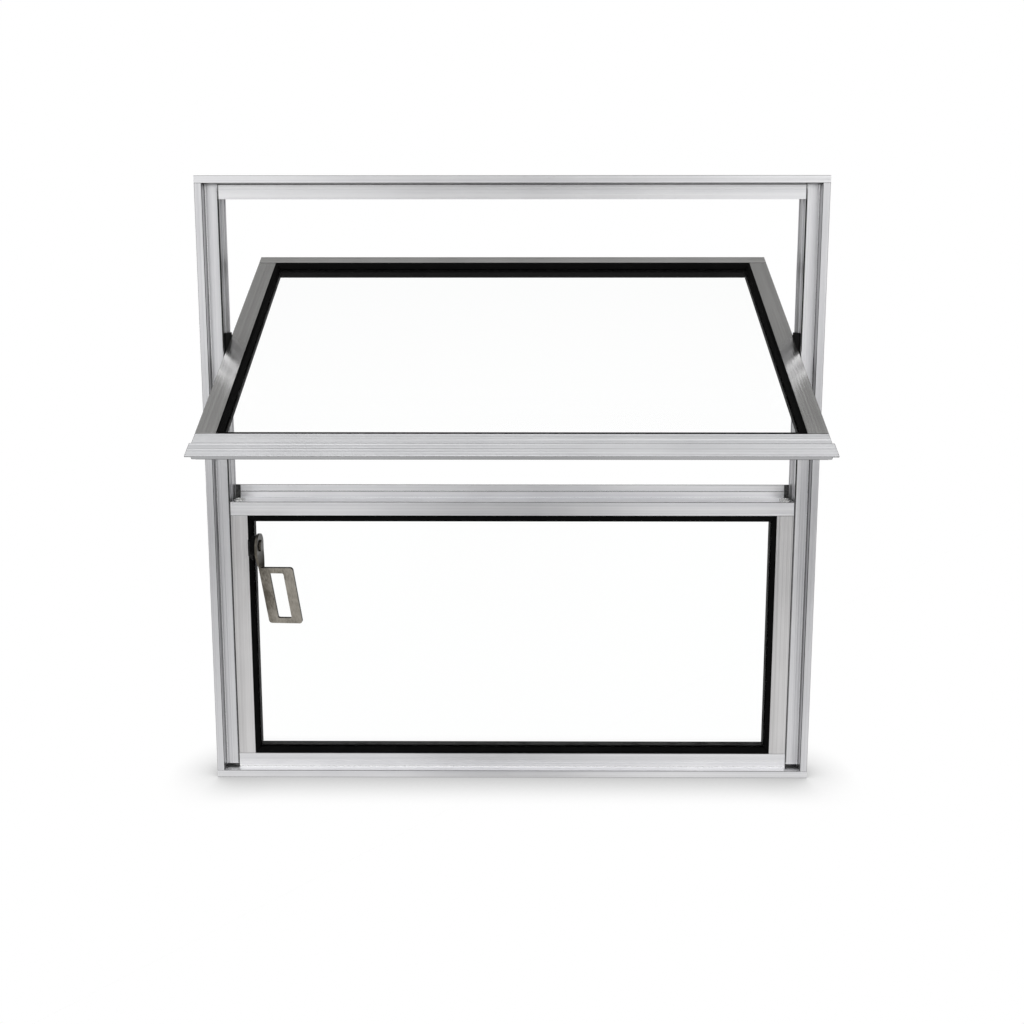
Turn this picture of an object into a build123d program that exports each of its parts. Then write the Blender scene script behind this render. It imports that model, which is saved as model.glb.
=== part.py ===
from build123d import *
import os

# A small aluminium bathroom window: a frame with a front flange, a fixed pane below the transom
# and a tilting sash above it, shown open. Millimetres, +Z up, the front faces -Y.
# The origin is on the back of the sill's flange, in the middle of the strip that laps the wall.
os.makedirs("parts", exist_ok=True)

# Frame
width = 600.0  # outside of the flange, left to right
height = 600.0  # outside of the flange, bottom to top
wall = 1.4  # metal thickness of every frame and sash section
flange = 7.2  # width of the front flange
recess = 7.0  # from the back of the flange to the recessed face
depth = 29.6  # from the back of the flange to the rear of the frame
jamb_face = 12.9  # width of a jamb's recessed face
rail_face = 14.0  # height of the recessed face of the head, the sill and the transom
transom_height = 270.3  # outside of the sill's flange to the transom's lower edge
upstand = 13.2  # rear upstand that the sash closes against
upstand_foot = 6.4  # its thicker lower part
upstand_step = 0.5  # how much thicker that part is
upstand_notch = 4.6  # how far the upstand stops short of each jamb, filled by a rubber plug
bead_width = 16.9  # face of the upright bead beside the fixed pane
seam = 0.3  # gap at the cut end of a rail, a bead or a stile
jamb_cope = 3.2  # how far a jamb's hollow stops above the sill's web
head_relief = 2.8  # how much shorter the head's rear wall is than its recessed face
flange_round = 0.5  # edges of the flange
corner_round = 1.2  # inside corner between the web and the recessed face
jamb_round = 1.6  # outside corner between a jamb's recessed face and its inner side
bead_round = 0.6  # the bead's edge beside that corner
grooves = ((11.5, 16.5), (23.0, 28.0))  # shallow grooves down a jamb's inner side, front and rear edge
groove_depth = 0.6

# Glazing
glass = 4.0  # thickness of both panes
glass_bite = 7.0  # how far a pane reaches into the metal
fixed_setback = 2.2  # recessed face to the fixed pane
sash_setback = 4.4  # sash face to the sash pane
level_gasket = 6.4  # visible width of a gasket at the bottom or the top of a pane
upright_gasket = 4.8  # visible width of a gasket at the side of a pane
gasket_grip = 5.5  # length of a gasket inside the metal
gasket_sink = 0.8  # gasket's nose below the metal face
gasket_nose = 2.4  # flat part of a gasket's face

# Sash
side_gap = 1.7  # between a jamb and the sash
sash_depth = 19.0  # front face to back face
sash_clearance = 0.6  # behind the head's recessed face when shut
stile_width = 18.6
top_rail = 11.5
bottom_rail = 16.0  # the face above the drip
drip = 16.3  # the drip lip below that face
ledge_gap = 8.6  # the rail's body above the transom's ledge when shut, clear of the screw heads
drip_drop = 2.4  # lower edge of the rail's body down to the drip's upper edge
drip_step = 4.0  # how far the drip stands proud
drip_hem = 4.1  # the drip's folded lower edge, front to back
hem_cut = 5.5  # how far the hem stops short of each end
tube_width = 10.4  # hollow part of a sash stile
pivot_height = 430.3  # outside of the sill's flange to the pivot
head_gap = 1.9  # sash to the head's flange when shut
open_angle = 55.4  # degrees from shut

# Pivots
pad_thickness = 1.5
pad_height = 42.0
pin_radius = 4.0
pin_into_jamb = 6.0
pin_into_sash = 7.0

# Lever on the left bead
lever_below = 25.3  # transom's lower edge down to the rivet
lever_inset = 34.1  # jamb's inner side to the eye's outer face
lever_forward = 11.5  # rivet's axis in front of the flange's back
plate = 2.4  # thickness of the lever's metal
eye_radius = 11.9
boss_radius = 9.5
boss_thickness = 5.0
boss_gap = 0.4  # eye to boss
foot_up = 1.0  # bracket that carries the boss, above the rivet
foot_down = 15.0  # and below it
foot_edge = 2.4  # thickness of the bracket where it meets the bead
rivet_radius = 5.8
rivet_head = 1.8
rivet_crown = 1.1  # rounding of the head's edge
shank_radius = 2.5
neck_start = 6.5  # rivet to the top of the twisted neck
loop_drop = 20.0  # rivet to the loop's upper edge
loop_forward = 13.0  # loop's plane in front of the rivet's axis
neck_end = 4.8  # width of the twisted neck where it meets the loop
loop_width = 34.5
loop_length = 62.7
side_bar = 10.2
end_bar = 5.9
loop_corner = 3.0
slot_corner = 1.5
lever_tilt = 13.8  # degrees, lower end towards the pane
lever_lean = 4.5  # degrees, lower end to the right
lever_yaw = 8.2  # degrees, right side forward

# Running clearance of the pins and the rivet in their holes
pin_clearance = 0.1

# Places that follow from the sizes
lap = flange - wall
bottom = -lap / 2
side = width / 2
opening = side - flange - jamb_face
sill_edge = bottom + flange + rail_face
transom_low = bottom + transom_height
transom_top = transom_low + rail_face
middle_height = bottom + height / 2
sash_above = height - flange - pivot_height - head_gap

# The sash turns about the middle of its depth. Its own plane has +Y up along the sash
# and +Z out of its front face, so every sash piece is drawn flat and stands tilted.
pivot_y = recess + wall + sash_clearance + sash_depth / 2
sash_shut = Plane(origin=(0, pivot_y, bottom + pivot_height), x_dir=(1, 0, 0), z_dir=(0, -1, 0))
sash_plane = sash_shut.rotated((-open_angle, 0, 0))
sash_side = opening - side_gap
sash_face = sash_depth / 2
stile_top = sash_above - top_rail
body_low = -(pivot_height - transom_height - rail_face - ledge_gap)
drip_top = body_low - drip_drop
stile_low = drip_top + bottom_rail

# The pivot's axis crosses the left jamb's inner side here, and points into the opening
left_pivot = Plane(
    origin=(-opening, pivot_y, bottom + pivot_height), x_dir=(0, 1, 0), z_dir=(1, 0, 0)
)


def wall_strip(low, high):
    """One straight wall of a section, from its low corner to its high corner."""
    with Locations(low):
        Rectangle(high[0] - low[0], high[1] - low[1], align=(Align.MIN, Align.MIN))


def across(plane):
    """The plane of a bar's section, for a bar that runs along the given plane's X."""
    return Plane(origin=plane.origin, x_dir=plane.y_dir, z_dir=plane.x_dir)


def round_along(part, axis, corners, radius):
    """Rounds the edges that run along an axis through the given points."""
    edges = part.edges().filter_by(axis)
    fillet([edges.sort_by_distance(corner)[0] for corner in corners], radius=radius)


def glazing_strip(edge, length, face, next_face, glass_depth):
    """A gasket along a straight metal edge, mitred at both ends to its neighbours.

    The edge plane lies on the metal's face: X runs along the edge, Y points over the glass and
    Z points out of the face. The glass lies glass_depth below the face. The gasket shows face
    wide and its neighbours next_face, so the mitre runs from corner to corner.
    """
    with BuildPart() as strip:
        with BuildSketch(across(edge)):
            with BuildLine():
                Polyline(
                    (-gasket_grip, -wall),
                    (0, -wall),
                    (0, -gasket_sink),
                    (gasket_nose, -gasket_sink),
                    (face, -glass_depth),
                    (-gasket_grip, -glass_depth),
                    close=True,
                )
            make_face()
        extrude(amount=length / 2 + gasket_grip * next_face / face, both=True)
        for end in (-1, 1):
            corner = edge.from_local_coords((end * length / 2, 0, 0))
            mitre = edge.x_dir * (end * face) + edge.y_dir * next_face
            split(bisect_by=Plane(origin=corner, z_dir=mitre), keep=Keep.BOTTOM)
    return strip.part


def gasket_ring(name, face, low, high, glass_depth):
    """Four mitred gaskets round a rectangle on a face plane, written as four pieces."""
    wide, tall = high[0] - low[0], high[1] - low[1]
    centre = Vector((low[0] + high[0]) / 2, (low[1] + high[1]) / 2)
    level = (wide, level_gasket, upright_gasket)
    upright = (tall, upright_gasket, level_gasket)
    sides = {
        "bottom": ((centre.X, low[1]), (1, 0), level),
        "top": ((centre.X, high[1]), (-1, 0), level),
        "left": ((low[0], centre.Y), (0, -1), upright),
        "right": ((high[0], centre.Y), (0, 1), upright),
    }
    for place, (middle, along, lengths) in sides.items():
        run = face.from_local_coords(Vector(along[0], along[1], 0)) - face.origin
        edge = Plane(
            origin=face.from_local_coords((middle[0], middle[1], 0)), x_dir=run, z_dir=face.z_dir
        )
        strip = glazing_strip(edge, *lengths, glass_depth)
        strip.label = f"{name}_{place}"
        export_step(strip, f"parts/{strip.label}.step")


# Sill: the flange laps the wall over the full width, the web stands in the wall's opening,
# and two walls between the jambs form the channel that the fixed pane stands in
with BuildPart() as sill:
    with BuildSketch(Plane.YZ):
        wall_strip((-wall, bottom), (0, bottom + flange))
    extrude(amount=side, both=True)
    with BuildSketch(Plane.YZ):
        wall_strip((0, bottom + lap), (depth, bottom + flange))
    extrude(amount=side - lap, both=True)
    with BuildSketch(Plane.YZ):
        wall_strip((recess, bottom + lap), (recess + wall, sill_edge))
        wall_strip((depth - wall, bottom + lap), (depth, sill_edge))
    extrude(amount=opening - seam, both=True)
    round_along(sill, Axis.X, [(0, -wall, bottom), (0, -wall, bottom + flange)], flange_round)
    round_along(sill, Axis.X, [(0, recess, bottom + flange)], corner_round)
sill.part.label = "sill"
export_step(sill.part, "parts/sill.step")

# Head: the sill's section the other way up, with the channel open over the sash and its rear
# wall cut back
head_edge = 2 * middle_height - sill_edge
with BuildPart() as head:
    mirror(sill.part, about=Plane.XY.offset(middle_height))
    with BuildSketch(Plane.YZ):
        wall_strip((depth - wall, head_edge), (depth, head_edge + head_relief))
    extrude(amount=opening, both=True, mode=Mode.SUBTRACT)
head.part.label = "head"
export_step(head.part, "parts/head.step")

# Left jamb: flange and web like the sill's, closed by an inner wall into a hollow section that is
# coped short of the sill's web
with BuildPart() as jamb_left:
    with BuildSketch(Plane.XY.offset(bottom + flange)):
        wall_strip((-side, -wall), (-side + flange, 0))
        wall_strip((-side + lap, 0), (-side + flange, depth))
    extrude(amount=height - 2 * flange)
    with BuildSketch(Plane.XY.offset(bottom + flange + jamb_cope)):
        wall_strip((-side + lap, recess), (-opening, recess + wall))
        wall_strip((-side + lap, depth - wall), (-opening, depth))
        wall_strip((-opening - wall, recess), (-opening, depth))
        for front, rear in grooves:
            with Locations((-opening - groove_depth, front)):
                Rectangle(
                    groove_depth, rear - front, align=(Align.MIN, Align.MIN), mode=Mode.SUBTRACT
                )
    extrude(amount=height - 2 * flange - jamb_cope)
    round_along(
        jamb_left,
        Axis.Z,
        [(-side, -wall, middle_height), (-side + flange, -wall, middle_height)],
        flange_round,
    )
    round_along(jamb_left, Axis.Z, [(-side + flange, recess, middle_height)], corner_round)
    round_along(jamb_left, Axis.Z, [(-opening, recess, middle_height)], jamb_round)
    with BuildSketch(left_pivot):
        Circle(pin_radius + pin_clearance)
    extrude(amount=-2 * wall, mode=Mode.SUBTRACT)
jamb_left.part.label = "jamb_left"
export_step(jamb_left.part, "parts/jamb_left.step")

with BuildPart() as jamb_right:
    mirror(jamb_left.part, about=Plane.YZ)
jamb_right.part.label = "jamb_right"
export_step(jamb_right.part, "parts/jamb_right.step")

# Transom: a ledge with a channel below for the fixed pane and an upstand behind for the sash
upstand_front = depth - wall - upstand_step
with BuildPart() as transom:
    with BuildSketch(Plane.YZ):
        wall_strip((recess, transom_low), (recess + wall, transom_top))
        wall_strip((depth - wall, transom_low), (depth, transom_top))
        wall_strip((recess, transom_top - wall), (depth, transom_top))
    extrude(amount=opening - seam, both=True)
    with BuildSketch(Plane.YZ):
        wall_strip((depth - wall, transom_top), (depth, transom_top + upstand))
        wall_strip((upstand_front, transom_top), (depth - wall, transom_top + upstand_foot))
    extrude(amount=opening - upstand_notch, both=True)
transom.part.label = "transom"
export_step(transom.part, "parts/transom.step")

# Rubber plugs between the upstand's ends and the jambs
with BuildPart() as upstand_plug_left:
    with BuildSketch(Plane.XY.offset(transom_top)):
        wall_strip((-opening, upstand_front), (-opening + upstand_notch, depth))
    extrude(amount=upstand)
upstand_plug_left.part.label = "upstand_plug_left"
export_step(upstand_plug_left.part, "parts/upstand_plug_left.step")

with BuildPart() as upstand_plug_right:
    mirror(upstand_plug_left.part, about=Plane.YZ)
upstand_plug_right.part.label = "upstand_plug_right"
export_step(upstand_plug_right.part, "parts/upstand_plug_right.step")

# Upright beads beside the fixed pane: channels that stand on the sill under the transom
with BuildPart() as bead_left:
    with BuildSketch(Plane.XY.offset(sill_edge + seam)):
        wall_strip((-opening, recess), (-opening + wall, depth))
        wall_strip((-opening, recess), (-opening + bead_width, recess + wall))
        wall_strip((-opening, depth - wall), (-opening + bead_width, depth))
    extrude(amount=transom_low - sill_edge - seam)
    round_along(bead_left, Axis.Z, [(-opening, recess, transom_low)], bead_round)
bead_left.part.label = "bead_left"
export_step(bead_left.part, "parts/bead_left.step")

with BuildPart() as bead_right:
    mirror(bead_left.part, about=Plane.YZ)
bead_right.part.label = "bead_right"
export_step(bead_right.part, "parts/bead_right.step")

# Fixed pane, held in the channels of the sill, the transom and the two beads
pane_side = opening - bead_width
front_face = Plane(origin=(0, recess, 0), x_dir=(1, 0, 0), z_dir=(0, -1, 0))
with BuildPart() as fixed_pane:
    with BuildSketch(front_face.offset(-fixed_setback)):
        with Locations((0, (sill_edge + transom_low) / 2)):
            Rectangle(2 * (pane_side + glass_bite), transom_low - sill_edge + 2 * glass_bite)
    extrude(amount=-glass)
fixed_pane.part.label = "fixed_pane"
export_step(fixed_pane.part, "parts/fixed_pane.step")

# Gaskets of the fixed pane, front and back
rear_face = Plane(origin=(0, depth, 0), x_dir=(-1, 0, 0), z_dir=(0, 1, 0))
rear_setback = depth - recess - fixed_setback - glass
pane_corners = ((-pane_side, sill_edge), (pane_side, transom_low))
gasket_ring("fixed_gasket_front", front_face, *pane_corners, fixed_setback)
gasket_ring("fixed_gasket_back", rear_face, *pane_corners, rear_setback)

# Sash top rail: a channel open towards the pane
with BuildPart() as sash_top_rail:
    with BuildSketch(across(sash_plane)):
        wall_strip((stile_top, sash_face - wall), (sash_above, sash_face))
        wall_strip((sash_above - wall, -sash_face), (sash_above, sash_face))
        wall_strip((stile_top, -sash_face), (sash_above, -sash_face + wall))
    extrude(amount=sash_side, both=True)
sash_top_rail.part.label = "sash_top_rail"
export_step(sash_top_rail.part, "parts/sash_top_rail.step")

# Sash bottom rail: the same channel, whose front wall runs on down to a drip that stands proud
drip_low = drip_top - drip
drip_face = sash_face + drip_step
with BuildPart() as sash_bottom_rail:
    with BuildSketch(across(sash_plane)):
        wall_strip((drip_top - wall, sash_face - wall), (stile_low, sash_face))
        wall_strip((body_low, -sash_face), (body_low + wall, sash_face))
        wall_strip((body_low, -sash_face), (stile_low, -sash_face + wall))
        wall_strip((drip_top - wall, sash_face), (drip_top, drip_face))
        wall_strip((drip_low, drip_face - wall), (drip_top, drip_face))
    extrude(amount=sash_side, both=True)
    with BuildSketch(across(sash_plane)):
        wall_strip((drip_low, drip_face - drip_hem), (drip_low + wall, drip_face))
    extrude(amount=sash_side - hem_cut, both=True)
sash_bottom_rail.part.label = "sash_bottom_rail"
export_step(sash_bottom_rail.part, "parts/sash_bottom_rail.step")

# Sash stiles: a hollow tube on the outside and the pane's channel on the inside
with BuildPart() as sash_stile_left:
    with BuildSketch(Plane(origin=sash_plane.from_local_coords((0, stile_low, 0)),
                           x_dir=sash_plane.x_dir, z_dir=-sash_plane.y_dir)):
        wall_strip((-sash_side, sash_face - wall), (-sash_side + stile_width, sash_face))
        wall_strip((-sash_side, -sash_face), (-sash_side + stile_width, -sash_face + wall))
        wall_strip((-sash_side, -sash_face), (-sash_side + wall, sash_face))
        wall_strip(
            (-sash_side + tube_width - wall, -sash_face), (-sash_side + tube_width, sash_face)
        )
    extrude(amount=stile_low - stile_top + seam)
    with BuildSketch(left_pivot.offset(side_gap)):
        Circle(pin_radius + pin_clearance)
    extrude(amount=2 * wall, mode=Mode.SUBTRACT)
sash_stile_left.part.label = "sash_stile_left"
export_step(sash_stile_left.part, "parts/sash_stile_left.step")

with BuildPart() as sash_stile_right:
    mirror(sash_stile_left.part, about=Plane.YZ)
sash_stile_right.part.label = "sash_stile_right"
export_step(sash_stile_right.part, "parts/sash_stile_right.step")

# Sash pane
sash_pane_side = sash_side - stile_width
with BuildPart() as sash_pane:
    with BuildSketch(sash_plane.offset(sash_face - sash_setback)):
        with Locations((0, (stile_low + stile_top) / 2)):
            Rectangle(2 * (sash_pane_side + glass_bite), stile_top - stile_low + 2 * glass_bite)
    extrude(amount=-glass)
sash_pane.part.label = "sash_pane"
export_step(sash_pane.part, "parts/sash_pane.step")

# Gaskets of the sash pane, front and back
sash_front = sash_plane.offset(sash_face)
sash_back = Plane(
    origin=sash_plane.offset(-sash_face).origin, x_dir=-sash_plane.x_dir, z_dir=-sash_plane.z_dir
)
sash_corners = ((-sash_pane_side, stile_low), (sash_pane_side, stile_top))
gasket_ring("sash_gasket_front", sash_front, *sash_corners, sash_setback)
gasket_ring("sash_gasket_back", sash_back, *sash_corners, sash_depth - sash_setback - glass)

# Pivots: a plastic pad on each jamb, and a steel pin through jamb, pad and sash
with BuildPart() as pivot_pad_left:
    with BuildSketch(left_pivot):
        with Locations(((recess + jamb_round + depth) / 2 - pivot_y, 0)):
            Rectangle(depth - recess - jamb_round, pad_height)
        Circle(pin_radius + pin_clearance, mode=Mode.SUBTRACT)
    extrude(amount=pad_thickness)
pivot_pad_left.part.label = "pivot_pad_left"
export_step(pivot_pad_left.part, "parts/pivot_pad_left.step")

with BuildPart() as pivot_pad_right:
    mirror(pivot_pad_left.part, about=Plane.YZ)
pivot_pad_right.part.label = "pivot_pad_right"
export_step(pivot_pad_right.part, "parts/pivot_pad_right.step")

with BuildPart() as pivot_pin_left:
    with BuildSketch(left_pivot.offset(-pin_into_jamb)):
        Circle(pin_radius)
    extrude(amount=pin_into_jamb + side_gap + pin_into_sash)
pivot_pin_left.part.label = "pivot_pin_left"
export_step(pivot_pin_left.part, "parts/pivot_pin_left.step")

with BuildPart() as pivot_pin_right:
    mirror(pivot_pin_left.part, about=Plane.YZ)
pivot_pin_right.part.label = "pivot_pin_right"
export_step(pivot_pin_right.part, "parts/pivot_pin_right.step")

# Lever: a flat eye across the window, a twisted neck and a slotted plate that faces the room.
# The neck's front edge runs from the eye's front to the loop's left edge, and its rear edge from
# the eye's rear to a point on the loop's upper bar.
rivet_z = transom_low - lever_below
eye_plane = Plane(
    origin=(-opening + lever_inset, -lever_forward, rivet_z), x_dir=(0, 1, 0), z_dir=(1, 0, 0)
)
loop_plane = Plane(
    origin=(eye_plane.origin.X - plate / 2, -lever_forward - loop_forward, rivet_z),
    x_dir=(1, 0, 0),
    z_dir=(0, -1, 0),
).rotated((lever_tilt, -lever_lean, -lever_yaw))
NECK_STEPS = 4
with BuildPart() as lever:
    with BuildSketch(eye_plane):
        Circle(eye_radius)
        with Locations((0, -neck_start / 2)):
            Rectangle(2 * eye_radius, neck_start)
    extrude(amount=-plate)
    eye_middle = eye_plane.offset(-plate / 2)
    for step in range(NECK_STEPS + 1):
        turned = step / NECK_STEPS
        front, rear = (
            eye_middle.from_local_coords((reach, -neck_start, 0)) * (1 - turned)
            + loop_plane.from_local_coords((across_loop, -loop_drop - loop_corner, 0)) * turned
            for reach, across_loop in ((-eye_radius, 0), (eye_radius, neck_end))
        )
        strip = rear - front
        with BuildSketch(Plane(origin=(front + rear) / 2, x_dir=strip, z_dir=(0, 0, -1))):
            Rectangle(strip.length, plate)
    loft()
    with BuildSketch(loop_plane):
        with Locations((loop_width / 2, -loop_drop - loop_length / 2)):
            RectangleRounded(loop_width, loop_length, loop_corner)
            RectangleRounded(
                loop_width - 2 * side_bar, loop_length - 2 * end_bar, slot_corner,
                mode=Mode.SUBTRACT,
            )
    extrude(amount=plate / 2, both=True)
    with BuildSketch(eye_plane):
        Circle(shank_radius + pin_clearance)
    extrude(amount=-plate, mode=Mode.SUBTRACT)
lever.part.label = "lever"
export_step(lever.part, "parts/lever.step")

# Lever base: a round boss behind the eye, on a bracket seated on the bead's edge and the gasket
boss_plane = eye_plane.offset(-plate - boss_gap)
boss_front = boss_plane.origin.X
seat = recess + gasket_sink
with BuildPart() as lever_base:
    with BuildSketch(boss_plane):
        Circle(boss_radius)
    extrude(amount=-boss_thickness)
    with BuildSketch(Plane.XY.offset(rivet_z - foot_down)):
        with BuildLine():
            Polyline(
                (-pane_side, seat),
                (-pane_side, seat - foot_edge),
                (boss_front - boss_thickness, -lever_forward),
                (boss_front, -lever_forward),
                (boss_front, seat - foot_edge),
                (boss_front - boss_thickness / 2, seat),
                close=True,
            )
        make_face()
    extrude(amount=foot_down + foot_up)
    with BuildSketch(boss_plane):
        Circle(shank_radius + pin_clearance)
    extrude(amount=-boss_thickness / 2, mode=Mode.SUBTRACT)
lever_base.part.label = "lever_base"
export_step(lever_base.part, "parts/lever_base.step")

# Rivet: a low head on the eye and a shank into the boss
with BuildPart() as lever_rivet:
    with BuildSketch(eye_plane):
        Circle(rivet_radius)
    extrude(amount=rivet_head)
    crown = lever_rivet.faces().sort_by(Axis.X)[-1].edges()
    fillet(crown, radius=rivet_crown)
    with BuildSketch(eye_plane):
        Circle(shank_radius)
    extrude(amount=-plate - boss_gap - boss_thickness / 2)
lever_rivet.part.label = "lever_rivet"
export_step(lever_rivet.part, "parts/lever_rivet.step")
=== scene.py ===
import math

import bpy
import numpy as np
from mathutils import Euler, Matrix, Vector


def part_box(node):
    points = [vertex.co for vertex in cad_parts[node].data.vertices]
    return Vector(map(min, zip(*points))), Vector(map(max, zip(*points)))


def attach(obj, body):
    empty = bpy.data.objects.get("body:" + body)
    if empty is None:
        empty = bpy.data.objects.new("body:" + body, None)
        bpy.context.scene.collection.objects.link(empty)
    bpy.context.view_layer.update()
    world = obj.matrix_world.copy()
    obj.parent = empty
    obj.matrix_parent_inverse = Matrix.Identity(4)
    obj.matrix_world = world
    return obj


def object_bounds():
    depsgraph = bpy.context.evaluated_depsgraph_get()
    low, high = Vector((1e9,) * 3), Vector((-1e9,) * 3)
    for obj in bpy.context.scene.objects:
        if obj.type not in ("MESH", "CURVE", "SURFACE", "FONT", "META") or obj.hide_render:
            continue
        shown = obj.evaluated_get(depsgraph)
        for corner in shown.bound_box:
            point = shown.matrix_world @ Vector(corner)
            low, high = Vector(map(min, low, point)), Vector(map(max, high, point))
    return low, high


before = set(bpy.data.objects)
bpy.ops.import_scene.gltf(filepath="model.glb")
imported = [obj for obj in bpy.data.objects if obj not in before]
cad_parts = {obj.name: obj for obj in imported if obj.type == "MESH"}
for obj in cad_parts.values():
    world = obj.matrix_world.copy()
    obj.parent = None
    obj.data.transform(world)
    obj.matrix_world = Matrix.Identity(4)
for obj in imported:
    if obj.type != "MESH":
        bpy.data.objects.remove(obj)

cad_low, cad_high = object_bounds()


# Frame: sill, head, two jambs, transom and the two upright beads. All are extruded aluminium as
# it left the die, cut square. The flange in front laps the wall, and every face carries faint
# lines along its bar from the die.
class Wire:
    """One output of a node. A sum, difference or product of wires and numbers adds Math nodes."""

    def __init__(self, tree, socket=None):
        self.tree = tree
        self.socket = socket

    def node(self, kind, settings, values, out=0):
        """Adds a node: its settings first, then each socket's number, colour or wire."""
        made = self.tree.nodes.new("ShaderNode" + kind)
        for name, value in settings.items():
            setattr(made, name, value)
        for name, value in values.items():
            if isinstance(value, Wire):
                self.tree.links.new(value.socket, made.inputs[name])
            else:
                made.inputs[name].default_value = value
        return Wire(self.tree, made.outputs[out] if made.outputs else None)

    def maths(self, operation, first, second):
        return self.node("Math", {"operation": operation}, {0: first, 1: second})

    def __add__(self, other):
        return self.maths("ADD", self, other)

    def __sub__(self, other):
        return self.maths("SUBTRACT", self, other)

    def __rsub__(self, other):
        return self.maths("SUBTRACT", other, self)

    def __mul__(self, other):
        return self.maths("MULTIPLY", self, other)

    __radd__ = __add__
    __rmul__ = __mul__

    def power(self, exponent):
        """The size of the wire, whatever its sign, to a power."""
        return self.maths("POWER", self.maths("ABSOLUTE", self, 0.0), exponent)

    def between(self, low, high):
        """0 where the wire is under low, 1 over high, and a smooth step from one to the other."""
        return self.node(
            "MapRange", {"interpolation_type": "SMOOTHSTEP"},
            {"Value": self, "From Min": low, "From Max": high},
        )

    def tint(self, low, high):
        """The colour low where the wire is 0 and high where it is 1. Either may be a wire."""
        low, high = (c if isinstance(c, Wire) else (*c, 1.0) for c in (low, high))
        return self.node("Mix", {"data_type": "RGBA"}, {0: self, 6: low, 7: high}, out=2)

    def noise(self, scale, detail=2.0, roughness=0.5):
        """Soft noise round 0.5 on a vector."""
        values = {"Vector": self, "Scale": scale, "Detail": detail, "Roughness": roughness}
        return self.node("TexNoise", {}, values)

    def mapped(self, scale, turn=0.0):
        """The vector turned about X and then scaled, axis by axis."""
        turned = self.node(
            "Mapping", {"vector_type": "POINT"}, {"Vector": self, "Rotation": (turn, 0.0, 0.0)}
        )
        return turned.node("Mapping", {"vector_type": "POINT"}, {"Vector": turned, "Scale": scale})


def new_finish(name):
    """An empty material, with a wire on its tree and its object coordinates."""
    material = bpy.data.materials.new(name)
    material.use_nodes = True
    material.node_tree.nodes.clear()
    start = Wire(material.node_tree)
    return material, start, start.node("TexCoord", {}, {}, out=3)


def finish_with(start, values):
    """Ends a material in one Principled shader."""
    shader = start.node("BsdfPrincipled", {}, values)
    start.node("OutputMaterial", {}, {"Surface": shader})


def extruded_metal(name, along, turn, colours, rough, line_height):
    """Mill-finish aluminium. Noise stretched along a bar gives the die's fine lines and broad
    bands, which also lift the surface a little. Plain noise gives clouds, and noise stretched less
    gives smudges. Painted shade darkens the sides and undersides, streaked, most of all in a
    crease, and darkens the broken edges too. The turn lays a tilted bar flat."""
    line_squeeze, smudge_length, smudge_width = 500.0, 9.0, 60.0
    crease_reach = 0.007
    painted_shade_colour = (0.03, 0.03, 0.03)
    material, start, place = new_finish(name)
    bar = place.mapped([1.0 if axis == along else line_squeeze for axis in "XYZ"], turn)
    lines = bar.noise(1.4, roughness=0.6)
    bands = bar.noise(0.35, detail=1.0)
    clouds = place.noise(22.0, detail=3.0)
    smudges = place.mapped(
        [smudge_length if axis == along else smudge_width for axis in "XYZ"], turn
    ).noise(1.0)
    shade = (lines - 0.5) * 0.75 + (bands - 0.5) * 0.60 + (clouds - 0.5) * 0.20 + 0.5
    shade = shade + (smudges - 0.5) * 0.45
    colour = shade.between(0.22, 0.78).tint(*colours)
    # Painted shade: ambient occlusion finds the creases, and the sides, the undersides, the creases
    # and the broken edges are tinted towards a near black.
    open_air = start.node("AmbientOcclusion", {"samples": 8}, {"Distance": crease_reach}, out=1)
    crease = 1.0 - open_air.between(0.35, 0.95)
    facing = start.node("NewGeometry", {}, {}, out=3).mapped((1.0, 1.0, 1.0), turn)
    sideways, forward, upward = (
        facing.node("SeparateXYZ", {}, {"Vector": facing}, out=i) for i in range(3)
    )
    flat = sideways.power(4.0) + forward.power(4.0) + upward.power(4.0)
    edge = (1.0 - flat.between(0.78, 0.995)) * (1.0 - crease.between(0.05, 0.35))
    inner = 1.0 - (forward * forward).between(0.50, 0.95)
    under = inner * (0.0 - upward).between(0.10, 0.70)
    beside = inner * (sideways * sideways).between(0.10, 0.70)
    painted_shade = beside * (crease * 0.30 + (lines - 0.5) * 1.5 + 0.38) + under * (crease * 0.85 + 0.42)
    painted_shade = (painted_shade + crease * 0.06 + edge * 0.85).between(0.0, 1.0)
    colour = painted_shade.tint(colour, painted_shade_colour)
    roughness = (lines - 0.5) * 0.08 + (clouds - 0.5) * 0.08 + rough
    bump = start.node(
        "Bump", {}, {"Strength": 1.0, "Distance": line_height, "Height": lines + bands}
    )
    finish_with(
        start,
        {"Base Color": colour, "Roughness": roughness, "Metallic": 1.0, "Normal": bump},
    )
    return material


def coat(material, nodes, edge):
    """Gives CAD nodes a finish, and breaks their sharp edges by a small bevel."""
    for name in nodes:
        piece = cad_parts[name]
        piece.data.materials.clear()
        piece.data.materials.append(material)
        merged = piece.modifiers.new("merge", "WELD")
        merged.merge_threshold = 0.00001
        broken = piece.modifiers.new("edge", "BEVEL")
        broken.width = edge
        broken.segments = 2
        broken.limit_method = "ANGLE"
        broken.angle_limit = math.radians(40.0)
        broken.use_clamp_overlap = True
        even = piece.modifiers.new("even", "WEIGHTED_NORMAL")
        even.keep_sharp = True


# Painted light and shade: the level bars get a lighter aluminium and the upright bars a darker one,
# for how each catches the light, and the beads a darker, warmer one still, painted shade and
# painted warm light.
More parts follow.
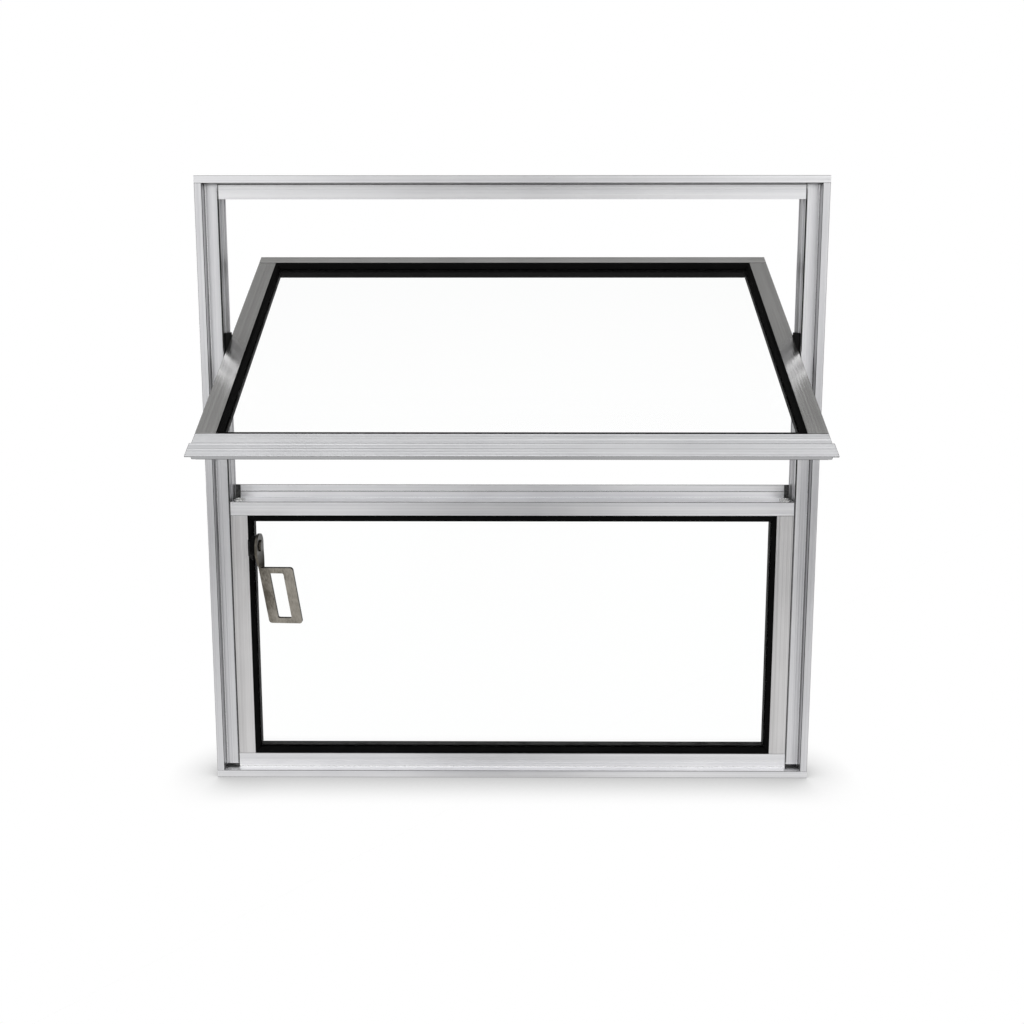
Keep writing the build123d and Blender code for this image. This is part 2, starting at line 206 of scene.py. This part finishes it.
level_lit_colours = ((0.84, 0.84, 0.862), (0.99, 0.99, 1.0))
upright_shaded_colours = ((0.74, 0.74, 0.760), (0.92, 0.92, 0.936))
level_bar = extruded_metal("frame_metal_level", "X", 0.0, level_lit_colours, 0.36, 0.0003)
upright_bar = extruded_metal("frame_metal_upright", "Z", 0.0, upright_shaded_colours, 0.36, 0.0003)
coat(level_bar, ["sill", "head", "transom"], 0.0004)
coat(upright_bar, ["jamb_left", "jamb_right"], 0.0004)
bead_shaded_colours = ((0.655, 0.645, 0.645), (0.855, 0.845, 0.845))
bead_bar = extruded_metal("bead_metal", "Z", 0.0, bead_shaded_colours, 0.34, 0.0003)
coat(bead_bar, ["bead_left", "bead_right"], 0.0004)


# Gaskets of both panes, and the two plugs beside the transom's upstand: black rubber, extruded,
# mitred at the corners and pushed into the metal's groove. The nose lies a little under the metal
# and slopes down to the glass.
rubber, start, place = new_finish("gasket_rubber")
dust = place.noise(60.0, detail=4.0).between(0.45, 0.75)
skin = place.noise(2600.0, detail=1.0)
finish_with(
    start,
    {
        "Specular IOR Level": 0.04,
        "Base Color": dust.tint((0.002, 0.002, 0.002), (0.004, 0.004, 0.004)),
        "Roughness": dust * 0.2 + 0.5,
        "Normal": start.node("Bump", {}, {"Strength": 0.3, "Distance": 0.00003, "Height": skin}),
    },
)
sides = ["bottom", "top", "left", "right"]
rings = ["fixed_gasket_front", "fixed_gasket_back", "sash_gasket_front", "sash_gasket_back"]
coat(rubber, [f"{ring}_{side}" for ring in rings for side in sides], 0.0004)

worn_rubber, start, place = new_finish("plug_rubber")
bloom = place.noise(350.0, detail=3.0)
finish_with(
    start,
    {
        "Specular IOR Level": 0.2,
        "Base Color": bloom.between(0.3, 0.7).tint((0.035, 0.035, 0.035), (0.11, 0.11, 0.11)),
        "Roughness": bloom * 0.2 + 0.5,
    },
)
coat(worn_rubber, ["upstand_plug_left", "upstand_plug_right"], 0.0003)


# Panes: 4 mm clear float glass. Light passes straight through, and a thin share of the
# surroundings is mirrored, more at a grazing view.
glass, start, place = new_finish("clear_glass")
smears = place.noise(9.0, detail=3.0).between(0.35, 0.8)
mirrored = start.node(
    "BsdfPrincipled", {},
    {"Base Color": (1.0, 1.0, 1.0, 1.0), "Metallic": 1.0, "Roughness": smears * 0.05 + 0.01},
)
through = start.node("BsdfTransparent", {}, {"Color": (0.998, 1.0, 0.999, 1.0)})
edge_on = start.node("LayerWeight", {}, {"Blend": 0.5}, out=1)
share = edge_on.power(5.0) * 0.7 + 0.003
pane = start.node("MixShader", {}, {0: share, 1: through, 2: mirrored})
start.node("OutputMaterial", {}, {"Surface": pane})
for name in ("fixed_pane", "sash_pane"):
    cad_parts[name].data.materials.clear()
    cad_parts[name].data.materials.append(glass)


# Sash: top rail, bottom rail with its drip and two stiles, the same mill-finish aluminium as the
# frame. It stands open, so its lines run along the tilted bars.
open_turn = math.radians(55.4)
# Painted shade: the top rail and the stiles get a darker, warmer aluminium. Painted light: the
# bottom rail gets a lighter, bluer one.
stile_shaded_colours = ((0.72, 0.715, 0.70), (0.86, 0.855, 0.84))
drip_lit_colours = ((0.88, 0.885, 0.905), (0.97, 0.975, 0.99))
sash_top = extruded_metal("sash_metal_top", "X", open_turn, stile_shaded_colours, 0.30, 0.0002)
sash_bottom = extruded_metal("sash_metal_bottom", "X", open_turn, drip_lit_colours, 0.42, 0.00022)
sash_upright = extruded_metal("sash_metal_upright", "Z", open_turn, stile_shaded_colours, 0.20, 0.0001)
coat(sash_top, ["sash_top_rail"], 0.0003)
coat(sash_bottom, ["sash_bottom_rail"], 0.0005)
coat(sash_upright, ["sash_stile_left", "sash_stile_right"], 0.0003)


# Pivots: a moulded black pad on each jamb and a turned steel pin through jamb, pad and sash.
moulded, start, place = new_finish("black_plastic")
pebble = place.noise(1400.0, detail=2.0)
finish_with(
    start,
    {
        "Specular IOR Level": 0.03,
        "Base Color": place.noise(80.0).tint((0.002, 0.002, 0.002), (0.005, 0.005, 0.005)),
        "Roughness": pebble * 0.2 + 0.4,
        "Normal": start.node("Bump", {}, {"Strength": 0.4, "Distance": 0.00005, "Height": pebble}),
    },
)
coat(moulded, ["pivot_pad_left", "pivot_pad_right", "lever_base"], 0.0004)


# Lever: a slotted plate of sheet steel with a twisted neck and a flat eye, held by a domed rivet.
# Its sheen is warm and uneven, with lines along the loop. Painted shade darkens the left bar and
# painted light lifts the right one, and the eye above the rivet and the faces turned away from the
# front are painted near black, painted shade and reflection.
steel, start, place = new_finish("stainless_steel")
loop_lean = 0.08
loop_left, loop_right = -0.246, -0.226
rivet_low, rivet_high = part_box("lever_rivet")
rivet = (rivet_low[2] + rivet_high[2]) / 2
lever_shade_colour = (0.05, 0.046, 0.04)
hung = place.node("Mapping", {}, {"Vector": place, "Rotation": (0.0, loop_lean, 0.0)})
rolled = hung.node("Mapping", {}, {"Vector": hung, "Scale": (900.0, 900.0, 14.0)}).noise(
    1.0, detail=3.0, roughness=0.65
)
stains = place.noise(60.0, detail=3.0)
facing = start.node("NewGeometry", {}, {}, out=3)
forward = facing.node("SeparateXYZ", {}, {"Vector": facing}, out=1)
# Painted shade: faces turned away from the front are tinted near black, and so is the eye above the
# rivet, painted shade and reflection.
rim = 1.0 - forward.power(2.0).between(0.15, 0.75)
sideways, height = (place.node("SeparateXYZ", {}, {"Vector": place}, out=i) for i in (0, 2))
painted_side_light = sideways.between(loop_left, loop_right) * 0.45 - 0.28
eye = height.between(rivet - 0.006, rivet + 0.006) * 0.62
tone = ((rolled - 0.5) * 0.9 + (stains - 0.5) * 1.1 + painted_side_light + 0.5).between(0.1, 0.9)
tone = tone.tint((0.12, 0.108, 0.088), (0.44, 0.41, 0.36))
finish_with(
    start,
    {
        "Base Color": (rim * 0.85).tint(eye.tint(tone, lever_shade_colour), lever_shade_colour),
        "Roughness": (stains - 0.5) * 0.3 + 0.30,
        "Metallic": 1.0,
        "Normal": start.node("Bump", {}, {"Strength": 1.0, "Distance": 0.00006, "Height": rolled}),
    },
)
coat(steel, ["lever", "lever_rivet", "pivot_pin_left", "pivot_pin_right"], 0.0003)


# Screws: two pan-head screws with a cross recess stand on the transom's ledge, one at each end.
# Each is plated steel, one closed mesh turned round its axis, driven down into the ledge.
def pan_head(middle, radius, height, turn):
    """A closed head on rings round its axis. Along the profile, from the top's middle to the
    bottom's middle, the top falls by a quarter of the height as the square of the way out, the rim
    is a quarter circle, then come the short side and the flat underside. The recess is two crossed
    bars sunk by a smooth step, and the turn is how far the screw was driven round."""
    ring_count, round_count = 26, 48
    way = np.linspace(0.0, 1.0, ring_count)
    out = radius * np.concatenate((way * 0.84, [0.90, 0.955, 0.99, 1.0, 1.0, 0.5]))
    drop = np.concatenate((0.25 * way**2, [0.30, 0.38, 0.50, 0.64, 1.0, 1.0]))
    angle = np.linspace(0.0, 2.0 * np.pi, round_count, endpoint=False) + turn
    own = angle - turn
    x, y = out[:, None] * np.cos(own), out[:, None] * np.sin(own)
    along, across = np.abs(np.array([x, y])), np.abs(np.array([y, x]))
    step = lambda value, low, high: np.clip((value - low) / (high - low), 0.0, 1.0)
    bars = (1.0 - step(along, radius * 0.48, radius * 0.60)) * (
        1.0 - step(across, radius * 0.09, radius * 0.19)
    )
    sunk = bars.max(axis=0) * 0.55 * height * (drop < 0.4)[:, None]
    z = height * (1.0 - drop)[:, None] - sunk
    turned_x, turned_y = out[:, None] * np.cos(angle), out[:, None] * np.sin(angle)
    rings = np.stack((turned_x, turned_y, z), axis=-1)[1:].reshape(-1, 3)
    poles = np.array([[0.0, 0.0, z[0, 0]], [0.0, 0.0, 0.0]])
    points = np.concatenate((rings, poles)) + middle
    ring_total = len(out) - 1
    here = np.arange(round_count)
    after = (here + 1) % round_count
    row = np.arange(ring_total - 1)[:, None] * round_count
    low_row = row + round_count
    quads = np.stack((row + here, low_row + here, low_row + after, row + after), axis=-1)
    top, foot = ring_total * round_count, ring_total * round_count + 1
    last = (ring_total - 1) * round_count
    faces = quads.reshape(-1, 4).tolist()
    faces += np.stack((np.full(round_count, top), here, after), axis=-1).tolist()
    faces += np.stack((np.full(round_count, foot), last + after, last + here), axis=-1).tolist()
    return points, faces


plated, start, place = new_finish("screw_steel")
marks = place.noise(900.0, detail=3.0)
finish_with(
    start,
    {
        "Base Color": marks.between(0.3, 0.7).tint((0.50, 0.50, 0.50), (0.74, 0.74, 0.73)),
        "Roughness": marks * 0.14 + 0.06,
        "Metallic": 1.0,
        "Normal": start.node("Bump", {}, {"Strength": 0.3, "Distance": 0.00003, "Height": marks}),
    },
)
ledge_above_beads = 0.014
screw_out, screw_back = 0.2722, 0.0135
screw_radius, screw_height = 0.0058, 0.0024
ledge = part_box("bead_left")[1][2] + ledge_above_beads
for side, x, turn in (("left", -screw_out, 0.5), ("right", screw_out, 1.1)):
    middle = np.array([x, screw_back, ledge])
    points, faces = pan_head(middle, screw_radius, screw_height, turn)
    head_mesh = bpy.data.meshes.new("transom_screw_" + side)
    head_mesh.from_pydata(points.tolist(), [], faces)
    head_mesh.shade_smooth()
    head_mesh.materials.append(plated)
    screw = bpy.data.objects.new("transom_screw_" + side, head_mesh)
    bpy.context.scene.collection.objects.link(screw)
    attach(screw, "root")


# Studio: a pale floor that runs out to white, and white all round for the camera. Metal sees a
# white wall ahead and behind, a light high in front, a dark ceiling, dark floor beside the sheet of
# paper in front and the dark shape of a stand in the middle.
floor_mesh = bpy.data.meshes.new("floor")
floor_size = 40.0
shadow_reach = 0.06
floor_mesh.from_pydata(
    [(x * floor_size, y * floor_size, cad_low.z) for x, y in ((-1, -1), (1, -1), (1, 1), (-1, 1))],
    [], [(0, 1, 2, 3)],
)
floor = bpy.data.objects.new("floor", floor_mesh)
bpy.context.scene.collection.objects.link(floor)
paper, start, place = new_finish("floor_paper")
# Painted shadow: ambient occlusion darkens the floor's emitted tone near the window, seen by the
# camera and, fainter, in reflections. Painted reflection: mirrored rays see the floor darker near
# the window, beside the paper and where the stand is.
seen = start.node("LightPath", {}, {}, out=0)
mirrored_ray = start.node("LightPath", {}, {}, out=3)
contact = start.node("AmbientOcclusion", {"samples": 12}, {"Distance": shadow_reach}, out=1)
shadow = (1.0 - contact.power(1.4)) * (1.0 - mirrored_ray * 0.8) * 0.82
across, back = (place.node("SeparateXYZ", {}, {"Vector": place}, out=i) for i in range(2))
beside = across.maths("ABSOLUTE", across, 0.0)
ahead = 0.0 - back
carpet = (beside - ahead * 0.34).between(0.20, 0.29) * ahead.between(0.38, 0.62)
carpet = carpet * (1.0 - ahead.between(1.9, 2.6))
stand = 1.0 - (beside - ahead * 0.13).between(0.02, 0.14)
stand = stand * (ahead.between(0.25, 0.60) * 0.58 + 0.22)
room_floor = (ahead.between(0.45, 1.1) * 0.25 + 0.75) * (1.0 - carpet * 0.92) * (1.0 - stand)
tone = (1.0 - shadow) * (1.0 - mirrored_ray * (1.0 - room_floor))
matt = start.node("BsdfDiffuse", {}, {"Color": (0.90, 0.90, 0.90, 1.0)})
bright = start.node("Emission", {}, {"Color": tone, "Strength": 1.0})
cover = start.node("MixShader", {}, {0: seen + mirrored_ray, 1: matt, 2: bright})
start.node("OutputMaterial", {}, {"Surface": cover})
floor_mesh.materials.append(paper)

world = bpy.data.worlds.new("room")
world.use_nodes = True
world.node_tree.nodes.clear()
bpy.context.scene.world = world
start = Wire(world.node_tree)
towards = start.node("TexCoord", {}, {})
east, north, up = (towards.node("SeparateXYZ", {}, {"Vector": towards}, out=i) for i in range(3))
wide = east.maths("ABSOLUTE", east, 0.0)
front = 1.0 - north.between(-0.20, 0.0)
ceiling = up.between(0.50, 0.72) * north.between(-0.02, 0.10)
corners = north.between(0.2, 0.5) * wide.between(0.17, 0.32) * (1.0 - up.between(0.40, 0.60))
stand = front * (1.0 - wide.between(0.06, 0.19)) * (1.0 - up.between(0.55, 0.75))
high_light = up.between(0.70, 0.88) * (1.0 - north.between(-0.14, 0.04))
room = (high_light * 0.50 + 1.0 - ceiling * 0.76 - corners * 0.5) * (1.0 - stand * 0.68)
mirrored_ray = start.node("LightPath", {}, {}, out=3)
room = 1.0 - mirrored_ray * (1.0 - room)
sky = start.node("Background", {}, {"Color": room, "Strength": 1.0})
start.node("OutputWorld", {}, {"Surface": sky})


# Camera: level with the pivots, tipped a little down, as the photograph was taken.
tipped_down, turned_left = math.radians(6.978), math.radians(0.242)
camera_data = bpy.data.cameras.new("camera")
camera_data.lens = 32.52
camera_data.sensor_width = 36.0
camera_data.shift_y = -0.105
camera = bpy.data.objects.new("camera", camera_data)
camera.location = (0.0039, -0.8909, 0.4888)
camera.rotation_euler = Euler((math.pi / 2 - tipped_down, 0.0, turned_left))
bpy.context.scene.collection.objects.link(camera)
bpy.context.scene.camera = camera
bpy.context.scene.view_settings.view_transform = "Standard"
